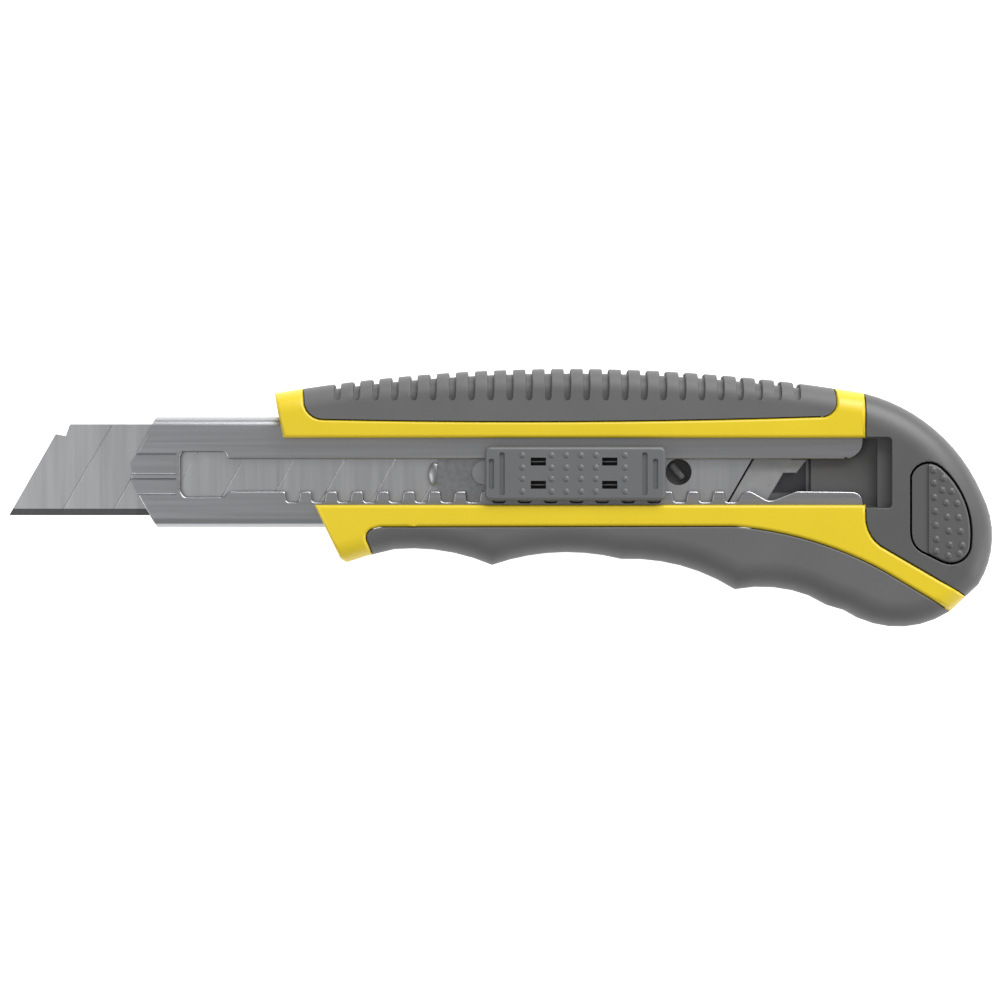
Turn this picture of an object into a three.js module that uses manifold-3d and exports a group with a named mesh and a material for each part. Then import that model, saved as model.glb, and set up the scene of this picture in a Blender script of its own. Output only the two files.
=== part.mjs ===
// An 18 mm snap-off utility knife with a loaded magazine, lying on its back face.
// Working frame, in millimetres: X runs from the tip of the steel nose to the end cap, Y runs across the
// knife from its middle line towards the ribbed top, and Z goes up from the back face that it lies on.
// The finished group is moved so that the origin is the middle of the knife's footprint.
import * as THREE from 'three';
import { mergeVertices } from 'three/addons/utils/BufferGeometryUtils.js';
import Module from 'manifold-3d';

const wasm = await Module();
wasm.setup();

// ---------------------------------------------------------------- driving dimensions
const gap = 0.3;            // between fixed pieces that meet
const layerGap = 0.1;       // between the flat layers in the channel
const beyond = 300;         // how far a cutting tool runs past the piece that it cuts

// blades
const bladeLength = 102;    // along the cutting edge
const bladeWidth = 18;
const bladeThick = 0.5;
const bladeSlant = THREE.MathUtils.degToRad(60);
const bladeMiddleY = 0.45;  // the strip rides a little above the channel's middle line
const bladeHoleRadius = 2.65;
const bladeHoleY = -0.15;
const bladeHoleToTail = 13.3;
const bladeStep = 1.9;      // the step at the top of the leading segment
const bladeReach = 24;      // how far the point stands out of the nose at rest
const spareCount = 5;

// steel channel
const sheet = 0.8;
const bladeSideRoom = 1.1;
const channelBend = 1.2;
const noseTaper = 5.2;      // how far the nose's corners lie behind its tip
const noseTipHalf = 2.9;
const noseBridge = 9.9;     // length of the nose's closed front
const stepRoom = 1.1;       // between the magazine's front wall and the spare blades
const slotTop = 2.6;
const slotBottom = -3.8;
const slotCorner = 0.7;
const windowLength = 8.7;
const windowTop = 4;
const windowBottom = -4.95;
const rearMouth = 3.5;      // how much the slot widens at its open rear end

// ratchet notches in the lower lip
const notchPitch = 5.1;
const notchDepth = 2.1;
const notchFloor = 2.3;
const notchFlank = 0.35;
const reloadTravel = 38.5;  // from the resting notch back to the reload detent
const extendNotches = 9;    // notches from rest to the foremost position
const noseClear = 12.2;     // plain lip between the window and the first notch

// magazine
const leafRoom = 1.5;
const leafThick = 0.4;
const leafWidth = 8;
const leafFrontX = 44;
const followerThick = 0.8;
const followerTail = 7.7;   // how far the follower stands out behind the spare blades
const rivetRadius = 1.5;
const rivetHeadRadius = 2.9;
const rivetHeadThick = 0.4;
const rivetFrontX = 40;
const rivetToSeam = 6.4;

// handle
const floorThick = 2.2;
const ribHeight = 1.5;
const ribWidth = 1.6;
const ribSpacing = 7;
const railHeight = 3.4;     // rails above the channel's lips
const railTop = 6.7;        // inner edge of the upper rail
const railBottom = -6.5;    // inner edge of the lower rail
const edgeRound = 3.5;
const gripThick = 1.8;
const noseX = 28.6;         // front end of the handle's top edge
const chinX = 42.2;         // front end of its lower edge
const chinY = -17.7;
const crownY = 20.4;        // highest point of the long arc along the top
const crownSag = 4.8;       // how far that arc falls to either end
const firstPeakX = 71.5;    // the two finger peaks of the lower edge
const firstPeakY = -18.4;
const secondPeakY = -23.2;
const peakToSeam = 25.4;
const valleyY = -15.9;
const panelSink = 0.5;      // plain sunk panel in the back face
const panelHalf = 6.2;

// grip ribs
const groovePitch = 3.773;
const firstGrooveX = 41;
const grooveWidth = 1.3;
const grooveDepth = 0.9;
const grooveFoot = 14;

// slider
const carrierThick = 0.4;
const carrierWidth = 15;
const carrierNose = 11.2;   // how far the carrier reaches in front of its pin
const pinRadius = 2.35;
const pinNeckRadius = 1.2;
const pinHeadThick = 0.45;
const pinToCover = 0.2;
const coverLength = 35.5;
const coverTop = 4.95;
const coverBottom = -5.65;
const coverHeight = 4.7;
const coverWall = 0.8;
const coverRoof = 1.3;
const coverRound = 0.5;
const thumbPlay = 0.4;
const lockBehind = 0.45;    // from the cover's middle back to the lock spring's tooth
const lockReach = 5.5;      // half the length of the lock spring
const lockThick = 0.4;
const lockBite = 0.9;
const windowWide = 3;
const windowHigh = 1.6;
const windowSpread = 7.1;   // from the cover's middle to the middle of each window

// end cap and its latch
const stopRoom = 0.7;       // between the slider's rearmost place and the channel's end
const heelRadius = 18.6;
const heelToSeam = 6.8;
const heelY = -12.4;
const capJoinAngle = THREE.MathUtils.degToRad(22);
const capWall = 2.2;
const recessTop = 6.8;
const recessBottom = -7.1;
const recessLength = 5.1;
const ledgeLength = 2.7;
const buttonProud = 0.5;
const buttonStep = 0.4;
const buttonGap = 0.4;
const flangeLip = 0.7;
const flangeThick = 1;
const armWidth = 3.6;
const armThick = 1.4;
const armLow = 4.6;
const armDip = 1.7;         // room for the arm's hooked end to dip
const armInset = 7;         // how far the hook reaches into the handle
const armSlot = 14;         // how far the arm's own slot runs back into the cap
const hookHeight = 1.3;
const catchThick = 2.2;

// ---------------------------------------------------------------- places and levels worked out from them
const lean = 1 / Math.tan(bladeSlant);
const channelHalf = bladeWidth / 2 + bladeSideRoom + sheet;
const pinX = -bladeReach + bladeLength + bladeWidth * lean / 2 - bladeHoleToTail;
const coverX = pinX + pinToCover;
const coverEndX = coverX + coverLength;
const restNotchX = (coverX + coverEndX) / 2 + lockBehind;
const channelLength = coverEndX + reloadTravel + stopRoom;
const stepX = reloadTravel - bladeReach - sheet - stepRoom;
const seamX = channelLength + gap;
const spareTailX = -bladeReach + bladeLength + bladeWidth * lean + reloadTravel;
const followerEndX = spareTailX + followerTail;
const windowEndX = noseBridge + windowLength;
const channelBack = floorThick + ribHeight + gap;
const leafLevel = channelBack + sheet + layerGap;
const followerLevel = channelBack + sheet + leafRoom;
const spareLevel = followerLevel + followerThick + layerGap;
const sparePitch = bladeThick + layerGap;
const activeLevel = spareLevel + spareCount * sparePitch;
const carrierLevel = activeLevel + bladeThick + layerGap;
const lipUnder = carrierLevel + carrierThick + layerGap;
const lipLevel = lipUnder + sheet;
const faceLevel = lipLevel + railHeight;
const noseBack = activeLevel - layerGap - sheet;
const coverLevel = lipLevel + gap;
const coverCeiling = coverLevel + coverHeight - coverRoof;
const armY = -(channelHalf + 4 * gap + armWidth / 2);
const hookLevel = armLow + armThick + hookHeight;

// ---------------------------------------------------------------- materials
const finish = (color, roughness, metalness) =>
  new THREE.MeshStandardMaterial({ color, roughness, metalness });
const yellowPlastic = finish('#e6cb35', 0.45, 0);
const greyRubber = finish('#666666', 0.75, 0);
const greyPlastic = finish('#6a6b6c', 0.55, 0);
const bladeSteel = finish('#a3a5a8', 0.35, 0.9);
const channelSteel = finish('#9a9c9f', 0.3, 0.9);
const springSteel = finish('#3a3a3a', 0.4, 0.8);

// ---------------------------------------------------------------- solids
const arcSteps = 4;
const roundSteps = 2;

// A closed geometry as a solid that can be cut and joined.
function solid(geometry) {
  const bare = geometry.index ? geometry.toNonIndexed() : geometry.clone();
  bare.deleteAttribute('normal');
  bare.deleteAttribute('uv');
  const merged = mergeVertices(bare, 1e-4);
  const triVerts = new Uint32Array(merged.index.array);
  const vertProperties = merged.attributes.position.array;
  return new wasm.Manifold(new wasm.Mesh({ numProp: 3, vertProperties, triVerts }));
}

// The shape as straight steps, without the points that fall on each other where two curves meet.
function stepped(shape) {
  const { shape: edge, holes } = shape.extractPoints(arcSteps);
  const apart = (points) =>
    points.filter((point, i) => point.distanceTo(points[(i + 1) % points.length]) > 0.05);
  const made = new THREE.Shape(apart(edge));
  made.holes = holes.map((hole) => new THREE.Path(apart(hole)));
  return made;
}

// A plan shape raised from one level to another, and grown outwards all round if asked.
function prism(shape, low, high, grow = 0) {
  const skin = 0.001;
  const raised = grow
    ? {
      depth: high - low - 2 * skin, bevelThickness: skin, bevelSize: 0, bevelOffset: grow, bevelSegments: 1,
    }
    : { depth: high - low, bevelEnabled: false };
  const geometry = new THREE.ExtrudeGeometry(stepped(shape), raised);
  return solid(geometry.translate(0, 0, grow ? low + skin : low));
}

// A plan shape raised with its top and bottom edges rounded over, and drawn in all round if asked.
function pebble(shape, low, high, round, inset = 0) {
  const geometry = new THREE.ExtrudeGeometry(stepped(shape), {
    depth: high - low - 2 * round, bevelThickness: round, bevelSize: round,
    bevelOffset: -round - inset, bevelSegments: roundSteps,
  });
  return solid(geometry.translate(0, 0, low + round));
}

function box(x0, x1, y0, y1, z0, z1) {
  const geometry = new THREE.BoxGeometry(x1 - x0, y1 - y0, z1 - z0);
  return solid(geometry.translate((x0 + x1) / 2, (y0 + y1) / 2, (z0 + z1) / 2));
}

function post(x, y, radius, low, high) {
  const geometry = new THREE.CylinderGeometry(radius, radius, high - low, 4 * arcSteps).rotateX(Math.PI / 2);
  return solid(geometry.translate(x, y, (low + high) / 2));
}

const tall = (shape, grow) => prism(shape, -beyond, beyond, grow);
const joined = (solids) => wasm.Manifold.union(solids);

function mesh(name, made, material) {
  const { vertProperties, triVerts } = made.getMesh();
  const geometry = new THREE.BufferGeometry();
  geometry.setAttribute('position', new THREE.BufferAttribute(vertProperties, 3));
  geometry.setIndex(new THREE.BufferAttribute(triVerts, 1));
  geometry.computeVertexNormals();
  const part = new THREE.Mesh(geometry, material);
  part.name = name;
  return part;
}

const outline = (points) => new THREE.Shape(points.map(([x, y]) => new THREE.Vector2(x, y)));
const curveThrough = (points) => points.map(([x, y]) => new THREE.Vector2(x, y));
const rect = (x0, x1, y0, y1) => outline([[x0, y0], [x1, y0], [x1, y1], [x0, y1]]);

// ---------------------------------------------------------------- the knife's side outline
const secondPeakX = seamX - peakToSeam;

function silhouette() {
  const shape = new THREE.Shape();
  const halfSpan = (seamX - noseX) / 2;
  const crownRadius = (halfSpan ** 2 + crownSag ** 2) / (2 * crownSag);
  const crownTurn = Math.asin(halfSpan / crownRadius);
  const heelX = seamX + heelToSeam;
  const outward = new THREE.Vector2(Math.cos(capJoinAngle), Math.sin(capJoinAngle));
  const join = new THREE.Vector2(heelX, heelY).addScaledVector(outward, heelRadius);
  const toSeam = new THREE.Vector2(seamX, crownY - crownSag).sub(join);
  const capRadius = -toSeam.lengthSq() / (2 * toSeam.dot(outward));
  const capCentre = join.clone().addScaledVector(outward, -capRadius);
  const heelEnd = new THREE.Vector2(-8.4, -16.6);
  shape.moveTo(noseX, crownY - crownSag);
  shape.absarc(noseX + halfSpan, crownY - crownRadius, crownRadius,
    Math.PI / 2 + crownTurn, Math.PI / 2 - crownTurn, true);
  shape.absarc(capCentre.x, capCentre.y, capRadius,
    Math.atan2(crownY - crownSag - capCentre.y, seamX - capCentre.x), capJoinAngle, true);
  shape.absarc(heelX, heelY, heelRadius, capJoinAngle, heelEnd.angle(), true);
  shape.lineTo(secondPeakX + 15.9, secondPeakY - 1.8);
  shape.quadraticCurveTo(secondPeakX + 9.4, secondPeakY + 1.2, secondPeakX, secondPeakY);
  const middleX = (firstPeakX + secondPeakX) / 2;
  shape.bezierCurveTo(secondPeakX - 13.6, valleyY - 0.1, middleX + 4.4, valleyY - 1.7,
    middleX + 0.4, valleyY - 1.2);
  shape.bezierCurveTo(middleX - 7.6, valleyY + 0.4, firstPeakX + 9.5, valleyY + 0.9, firstPeakX, firstPeakY);
  shape.quadraticCurveTo(firstPeakX - 11.4, valleyY + 2.3, chinX + 6.1, valleyY);
  shape.lineTo(chinX, chinY);
  shape.lineTo(chinX - 5.6, railBottom);
  shape.lineTo(noseX + 1.9, railTop);
  shape.closePath();
  return shape;
}

const side = silhouette();
const body = pebble(side, 0, faceLevel, edgeRound);
const underGrip = pebble(side, gripThick, faceLevel - gripThick, edgeRound - gripThick, gripThick);
const core = pebble(side, gripThick + gap, faceLevel - gripThick - gap, edgeRound - gripThick,
  gripThick + gap);

// ---------------------------------------------------------------- plan regions of the grips and the cap
function topGripRegion() {
  const shape = new THREE.Shape();
  shape.moveTo(noseX + 4, crownY + 4);
  shape.lineTo(noseX + 5.9, 14.8);
  shape.quadraticCurveTo(noseX + 6.4, 10.4, noseX + 9.4, 10.3);
  shape.lineTo((noseX + seamX) / 2, 10.1);
  shape.lineTo(seamX - 8.6, 10.8);
  shape.quadraticCurveTo(seamX - 5.6, 11, seamX - 5.7, 14);
  shape.lineTo(seamX - 6.8, crownY + 4);
  shape.closePath();
  return shape;
}

function lowGripRegion() {
  const shape = new THREE.Shape();
  shape.moveTo(chinX + 7.3, -10.8);
  shape.lineTo(secondPeakX - 0.6, -10.7);
  shape.splineThru(curveThrough([
    [seamX - 15.3, -12.2], [seamX - 5.8, -15.4], [seamX + 4, -19.8], [seamX + 17.2, -27.5],
  ]));
  shape.lineTo(seamX + 25, -36);
  shape.lineTo(chinX + 18, -36);
  shape.lineTo(chinX + 6.2, -16.5);
  shape.quadraticCurveTo(chinX + 3.4, -10.9, chinX + 7.3, -10.8);
  shape.closePath();
  return shape;
}

function capRegion() {
  const fillet = new THREE.Vector2(seamX + 3.7, -15.1);
  const fall = 0.57;
  const reach = 60;
  const shape = new THREE.Shape();
  shape.moveTo(seamX, 30);
  shape.lineTo(seamX, -8.5);
  shape.quadraticCurveTo(seamX, -12.8, fillet.x, fillet.y);
  shape.lineTo(fillet.x + reach, fillet.y - fall * reach);
  shape.lineTo(fillet.x + reach, 30);
  shape.closePath();
  return shape;
}

const topGripArea = topGripRegion();
const lowGripArea = lowGripRegion();
const capArea = capRegion();

// ---------------------------------------------------------------- blades
function blade(shift, level) {
  const edgeY = bladeMiddleY - bladeWidth / 2;
  const at = (along, up) => [shift - bladeReach + along + up * lean, edgeY + up];
  const shape = outline([
    at(0, 0), at(bladeLength, 0), at(bladeLength, bladeWidth), at(1.6, bladeWidth),
    at(1.9, bladeWidth - bladeStep - 0.3), at(0, bladeWidth - bladeStep),
  ]);
  const hole = new THREE.Path();
  hole.absarc(pinX + shift, bladeHoleY, bladeHoleRadius, 0, 2 * Math.PI, true);
  shape.holes.push(hole);
  return prism(shape, level, level + bladeThick);
}

// ---------------------------------------------------------------- steel channel
// A bar along X whose section is a rectangle with rounded corners.
function channelBar(x0, x1, half, low, high, bend) {
  const shape = new THREE.Shape();
  shape.moveTo(-high + bend, -half);
  shape.absarc(-low - bend, -half + bend, bend, -Math.PI / 2, 0, false);
  shape.absarc(-low - bend, half - bend, bend, 0, Math.PI / 2, false);
  shape.absarc(-high + bend, half - bend, bend, Math.PI / 2, Math.PI, false);
  shape.absarc(-high + bend, -half + bend, bend, Math.PI, Math.PI * 1.5, false);
  const geometry = new THREE.ExtrudeGeometry(stepped(shape), { depth: x1 - x0, bevelEnabled: false });
  return solid(geometry.rotateY(Math.PI / 2).translate(x0, 0, 0));
}

// The slot along the front, with the window behind the nose, the ratchet notches and the reload detent.
function slotShape() {
  const firstNotch = -Math.floor((restNotchX - windowEndX - noseClear) / notchPitch);
  const lastNotch = Math.floor(reloadTravel / notchPitch - 1);
  const foot = slotBottom - notchDepth;
  const half = notchFloor / 2;
  const points = [
    [noseBridge, windowBottom + slotCorner], [noseBridge + slotCorner, windowBottom],
    [windowEndX, windowBottom], [windowEndX + 2 * slotCorner, slotBottom],
  ];
  for (let i = firstNotch; i <= lastNotch; i++) {
    const x = restNotchX + i * notchPitch;
    points.push([x - half - notchFlank, slotBottom], [x - half, foot], [x + half, foot]);
    points.push([x + half + notchFlank, slotBottom]);
  }
  const detentX = restNotchX + reloadTravel;
  points.push([detentX - 4, slotBottom], [detentX, foot], [detentX + 5.2, slotBottom]);
  points.push([channelLength - 2, slotBottom], [channelLength, slotBottom - notchDepth]);
  points.push([channelLength + 2, slotBottom - notchDepth], [channelLength + 2, slotTop + rearMouth]);
  points.push([channelLength, slotTop + rearMouth], [channelLength - 2.8, slotTop]);
  points.push([windowEndX + slotCorner, slotTop], [windowEndX, windowTop]);
  points.push([noseBridge + slotCorner, windowTop]);
  points.push([noseBridge, windowTop - slotCorner]);
  return outline(points);
}

function bladeChannel() {
  const inner = channelHalf - sheet;
  const innerBend = channelBend - sheet;
  const magazine = channelBar(stepX, channelLength, channelHalf, channelBack, lipLevel, channelBend)
    .subtract(channelBar(stepX + sheet, beyond, inner, channelBack + sheet, lipUnder, innerBend))
    .subtract(channelBar(0, stepX + 2 * sheet, inner, noseBack + sheet, lipUnder, innerBend));
  const spear = outline([
    [noseTaper, channelHalf + 1], [0.6, noseTipHalf + 1], [0, noseTipHalf - 1.1],
    [0.4, 0], [0, 1 - noseTipHalf],
    [0.5, -noseTipHalf], [noseTaper, -channelHalf - 1], [beyond, -channelHalf - 1], [beyond, channelHalf + 1],
  ]);
  const nose = channelBar(-1, stepX + sheet, channelHalf, noseBack, lipLevel, channelBend)
    .subtract(channelBar(-beyond, beyond, inner, noseBack + sheet, lipUnder, innerBend))
    .intersect(tall(spear));
  const rivetHoles = [rivetFrontX, seamX - rivetToSeam]
    .map((x) => post(x, 0, rivetRadius + gap / 2, 0, spareLevel));
  return magazine.add(nose)
    .subtract(prism(slotShape(), lipUnder - sheet / 2, beyond))
    .subtract(joined(rivetHoles));
}

// A rivet from the sunk seat in the back face up through the channel's back.
function rivet(x) {
  const inside = channelBack + sheet;
  return joined([
    post(x, 0, rivetRadius, gap, inside + rivetHeadThick),
    post(x, 0, rivetHeadRadius, gap, gap + 2 * rivetHeadThick),
    post(x, 0, rivetRadius + 0.6, inside + layerGap / 2, inside + rivetHeadThick),
  ]);
}

// ---------------------------------------------------------------- magazine
const tongueX = followerEndX;

// A bowed leaf that lies on the channel's back and lifts the follower.
function leafSpring() {
  const crest = followerLevel - layerGap;
  const rearX = tongueX - 2 * gap;
  const bow = (rise) => new THREE.QuadraticBezierCurve(
    new THREE.Vector2(leafFrontX, leafLevel + rise),
    new THREE.Vector2((leafFrontX + rearX) / 2, 2 * (crest - leafThick) - leafLevel + rise),
    new THREE.Vector2(rearX, leafLevel + rise)).getPoints(3 * arcSteps);
  const strip = new THREE.Shape([...bow(0), ...bow(leafThick).reverse()]);
  const geometry = new THREE.ExtrudeGeometry(strip, { depth: leafWidth, bevelEnabled: false });
  return solid(geometry.rotateX(Math.PI / 2).translate(0, leafWidth / 2, 0));
}

// The plate under the spare blades, with a slanted tail and a small tab behind them.
function follower() {
  const half = bladeWidth / 2 - 0.2;
  const front = stepX + sheet + 5;
  const end = followerEndX - 2 * gap;
  const tail = (y) => end - 3.2 + (y - slotTop) * lean;
  const shape = outline([
    [front, -half], [tail(-half), -half], [tail(-0.2), -0.2], [tail(-0.2) + 2.6, -0.2],
    [end, slotTop], [tail(slotTop), slotTop], [end, slotTop + 3.2 / lean], [end, half],
    [front + 2 * half * lean, half],
  ]);
  return prism(shape, followerLevel, followerLevel + followerThick);
}

// ---------------------------------------------------------------- handle
const hookX = seamX - armInset;

function handleShell() {
  const cavity = box(0, beyond, -channelHalf - gap, channelHalf + gap, floorThick, lipLevel + gap);
  const throat = box(0, beyond, railBottom, railTop, lipLevel, beyond);
  const ribs = [-ribSpacing, 0, ribSpacing]
    .map((y) => box(chinX, seamX - 3, y - ribWidth / 2, y + ribWidth / 2,
      floorThick - 0.5, channelBack - gap));
  const panel = pebble(rect(chinX + 14, seamX - 19, -panelHalf, panelHalf), -3, panelSink, panelSink);
  const side0 = armY - armWidth / 2 - gap;
  const side1 = armY + armWidth / 2 + gap;
  const pocket = box(hookX - 3, seamX + armSlot, side0, side1, armLow - armDip, hookLevel + gap);
  const catchWall = box(seamX - catchThick, seamX + armSlot, side0 - 1, side1 + 1,
    hookLevel - hookHeight + gap, beyond);
  const rivetHoles = [rivetFrontX, seamX - rivetToSeam].map((x) => joined([
    post(x, 0, rivetRadius + gap / 2, -1, channelBack + gap),
    post(x, 0, rivetHeadRadius + gap / 2, -1, 2 * gap + 2 * rivetHeadThick),
  ]));
  return body.subtract(tall(topGripArea, gap)).subtract(tall(lowGripArea, gap)).add(core)
    .subtract(cavity).add(joined(ribs)).subtract(throat).subtract(tall(capArea, gap))
    .subtract(panel).subtract(pocket.subtract(catchWall)).subtract(joined(rivetHoles));
}

function topGrip() {
  const lastX = seamX - 13;
  const grooves = [];
  for (let x = firstGrooveX; x < lastX; x += groovePitch) {
    grooves.push(box(x - grooveWidth / 2, x + grooveWidth / 2, grooveFoot, 30, -1, faceLevel + 1));
  }
  const cuts = joined(grooves)
    .subtract(pebble(side, grooveDepth, faceLevel - grooveDepth, edgeRound - grooveDepth, grooveDepth));
  return body.intersect(tall(topGripArea)).subtract(underGrip).subtract(cuts);
}

const fingerGrip = () => body.intersect(tall(lowGripArea)).subtract(underGrip);

// ---------------------------------------------------------------- slider
// Middles of the four windows in the thumb cover.
function windows() {
  const middle = (coverX + coverEndX) / 2;
  return [-windowSpread, windowSpread].flatMap((x) => [2, -2.55].map((y) => [middle + x, y]));
}

// The block that runs in the slot, carries the cover and holds the lock spring in its middle bay.
function carriage() {
  const front = coverX + 3.2;
  const rear = coverEndX - 2.5;
  const deckTop = lipLevel + 1.4;
  const neck = box(front, rear, slotBottom + gap, slotTop - gap, lipUnder, coverLevel);
  const deckLow = coverBottom + coverWall + gap;
  const deckHigh = coverTop - coverWall - gap;
  const deck = box(front, rear, deckLow, deckHigh, coverLevel, deckTop);
  const legLong = windowWide / 2 - thumbPlay - gap / 2;
  const legWide = windowHigh / 2 - gap / 2;
  const legs = windows().map(([x, y]) => box(x - legLong, x + legLong, y - legWide, y + legWide,
    deckTop - 0.5, coverCeiling + coverRoof / 2));
  const bay = box(restNotchX - lockReach - gap, restNotchX + lockReach + gap, coverBottom - 1, 0.8,
    carrierLevel, deckTop + 1);
  return joined([neck, deck]).subtract(bay).add(joined(legs));
}

function thumbCover() {
  const outer = pebble(rect(coverX, coverEndX, coverBottom, coverTop),
    coverLevel, coverLevel + coverHeight, coverRound);
  const hollow = box(coverX + coverWall, coverEndX - coverWall, coverBottom + coverWall, coverTop - coverWall,
    0, coverCeiling);
  const slots = windows().map(([x, y]) => box(x - windowWide / 2, x + windowWide / 2,
    y - windowHigh / 2, y + windowHigh / 2, 0, beyond));
  const bars = [[1.5, 5.6], [3.7, 8.2]].flatMap(([inset, long]) => [coverX + inset, coverEndX - inset]
    .map((x) => box(x - 0.45, x + 0.45, -0.4 - long / 2, -0.4 + long / 2,
      coverLevel + coverHeight - 0.5, beyond)));
  return outer.subtract(hollow).subtract(joined([...slots, ...bars]));
}

function bladeCarrier() {
  const half = carrierWidth / 2;
  const front = pinX - carrierNose;
  const shape = outline([
    [front + 2, half], [front + 2, 2], [front + 0.7, 1.6], [front, 0], [front, -1.2], [front + 0.7, -2.6],
    [front + 2, -3], [front + 2, -half], [coverEndX - 2, -half], [coverEndX - 2, half],
  ]);
  return prism(shape, carrierLevel, carrierLevel + carrierThick)
    .subtract(post(pinX, bladeHoleY, pinNeckRadius + gap, 0, beyond));
}

// A pin whose foot sits in the blade's hole and whose head holds it in the carrier.
function bladePin() {
  const footLow = activeLevel + layerGap / 2;
  const carrierTop = carrierLevel + carrierThick;
  return joined([
    post(pinX, bladeHoleY, pinRadius, footLow, activeLevel + bladeThick),
    post(pinX, bladeHoleY, pinNeckRadius, footLow, carrierTop + pinHeadThick),
    post(pinX, bladeHoleY, pinRadius, carrierTop + layerGap / 2, carrierTop + pinHeadThick),
  ]);
}

// A bowed strip on edge, whose middle drops into a notch of the lower lip.
function lockSpring() {
  const tooth = slotBottom - lockBite;
  const shoulder = slotBottom + 1.2;
  const bow = (grow) => [
    [restNotchX - lockReach, grow - 0.6], [restNotchX - 2, shoulder + grow],
    [restNotchX - 0.9 + grow, tooth + grow], [restNotchX + 0.9 - grow, tooth + grow],
    [restNotchX + 2, shoulder + grow], [restNotchX + lockReach, grow - 0.6],
  ];
  const strip = outline([...bow(0), ...bow(lockThick).reverse()]);
  return prism(strip, lipUnder + layerGap, lipLevel + 1.6);
}

// ---------------------------------------------------------------- end cap and latch
const buttonX = seamX + 8.6;

function buttonShape() {
  const shape = new THREE.Shape();
  shape.moveTo(buttonX, -0.8);
  shape.lineTo(buttonX, -12.2);
  shape.quadraticCurveTo(buttonX + 0.3, -14.9, buttonX + 2.8, -16.1);
  shape.lineTo(buttonX + 6.2, -17.7);
  shape.quadraticCurveTo(buttonX + 12.3, -19.6, buttonX + 12.3, -12.9);
  shape.quadraticCurveTo(buttonX + 12, -5.5, buttonX + 6.2, 1.1);
  shape.quadraticCurveTo(buttonX + 0.3, 4.2, buttonX, -0.8);
  return shape;
}

// The hooked arm's place, grown all round by a clearance.
const armRun = (x0, x1, room, dip) => box(x0, x1, armY - armWidth / 2 - room, armY + armWidth / 2 + room,
  armLow - dip, armLow + armThick + room);

function endCap() {
  const recessEnd = seamX + recessLength;
  const half = channelHalf - sheet - gap;
  const outer = body.intersect(tall(capArea));
  const inside = pebble(side, capWall, faceLevel - capWall, edgeRound - capWall, capWall)
    .intersect(tall(capArea, -capWall))
    .subtract(box(0, recessEnd + capWall, recessBottom - capWall, recessTop + capWall, 0, beyond));
  const recess = box(seamX - 1, recessEnd, recessBottom, recessTop, activeLevel - layerGap, beyond);
  const ledge = box(recessEnd - ledgeLength, recessEnd + 0.5, recessBottom, recessTop,
    activeLevel - 1, lipLevel + 0.6);
  const tongue = box(tongueX, seamX + 1, -half, half, leafLevel + 2 * gap, activeLevel - layerGap);
  const buttonHole = tall(buttonShape(), buttonGap)
    .intersect(box(0, beyond, -beyond, beyond, faceLevel / 2, beyond));
  return outer.subtract(inside).subtract(recess).add(ledge).add(tongue).subtract(buttonHole)
    .subtract(armRun(seamX - 1, seamX + armSlot, gap, armDip));
}

// A springy arm on its own foot in the cap, with a hook that catches behind the wall in the handle.
function latchArm() {
  const footX = buttonX + 9.5;
  const hook = outline([
    [hookX, armLow], [seamX - catchThick - gap, armLow], [seamX - catchThick - gap, hookLevel],
    [seamX - catchThick - gap - 1, hookLevel], [hookX, armLow + armThick],
  ]);
  const geometry = new THREE.ExtrudeGeometry(hook, { depth: armWidth, bevelEnabled: false });
  return joined([
    armRun(hookX + 1, footX, 0, 0),
    solid(geometry.rotateX(Math.PI / 2).translate(0, armY + armWidth / 2, 0)),
    box(footX - 2.5, footX, armY - armWidth / 2, armY + armWidth / 2, capWall + gap, armLow + armThick),
  ]);
}

function latchButton() {
  const ceiling = faceLevel - capWall - gap;
  const shape = buttonShape();
  const flange = prism(shape, ceiling - flangeThick, ceiling, buttonGap + flangeLip)
    .intersect(tall(capArea, -capWall - gap))
    .intersect(pebble(side, capWall + gap, faceLevel - capWall - gap, edgeRound - capWall, capWall + gap));
  return pebble(shape, ceiling - flangeThick, faceLevel + buttonProud, 0.5)
    .subtract(box(0, buttonX + 3.7, -beyond, beyond, faceLevel + buttonProud - buttonStep, beyond))
    .add(flange)
    .add(post(buttonX + 4, armY, armWidth / 2 - gap, armLow + armThick + gap, ceiling - flangeThick / 2));
}

// ---------------------------------------------------------------- the assembly
const knife = new THREE.Group();
knife.add(
  mesh('handle_shell', handleShell(), yellowPlastic),
  mesh('top_grip', topGrip(), greyRubber),
  mesh('finger_grip', fingerGrip(), greyRubber),
  mesh('blade_channel', bladeChannel(), channelSteel),
  mesh('channel_rivet_front', rivet(rivetFrontX), channelSteel),
  mesh('channel_rivet_rear', rivet(seamX - rivetToSeam), channelSteel),
  mesh('magazine_leaf_spring', leafSpring(), springSteel),
  mesh('magazine_follower', follower(), greyPlastic),
  mesh('working_blade', blade(0, activeLevel), bladeSteel),
  mesh('blade_carrier', bladeCarrier(), channelSteel),
  mesh('blade_pin', bladePin(), channelSteel),
  mesh('slider_carriage', carriage(), greyPlastic),
  mesh('lock_spring', lockSpring(), springSteel),
  mesh('thumb_cover', thumbCover(), greyPlastic),
  mesh('end_cap', endCap(), greyPlastic),
  mesh('cap_latch_arm', latchArm(), greyPlastic),
  mesh('cap_latch_button', latchButton(), greyPlastic),
);
for (let i = 0; i < spareCount; i++) {
  knife.add(mesh(`spare_blade_${i + 1}`, blade(reloadTravel, spareLevel + i * sparePitch), bladeSteel));
}

const extent = new THREE.Box3().setFromObject(knife);
const middle = extent.getCenter(new THREE.Vector3());
knife.position.set(-middle.x, -middle.y, -extent.min.z);

export default knife;
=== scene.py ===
import math

import bmesh
import bpy
from mathutils import Matrix, Vector


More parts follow.
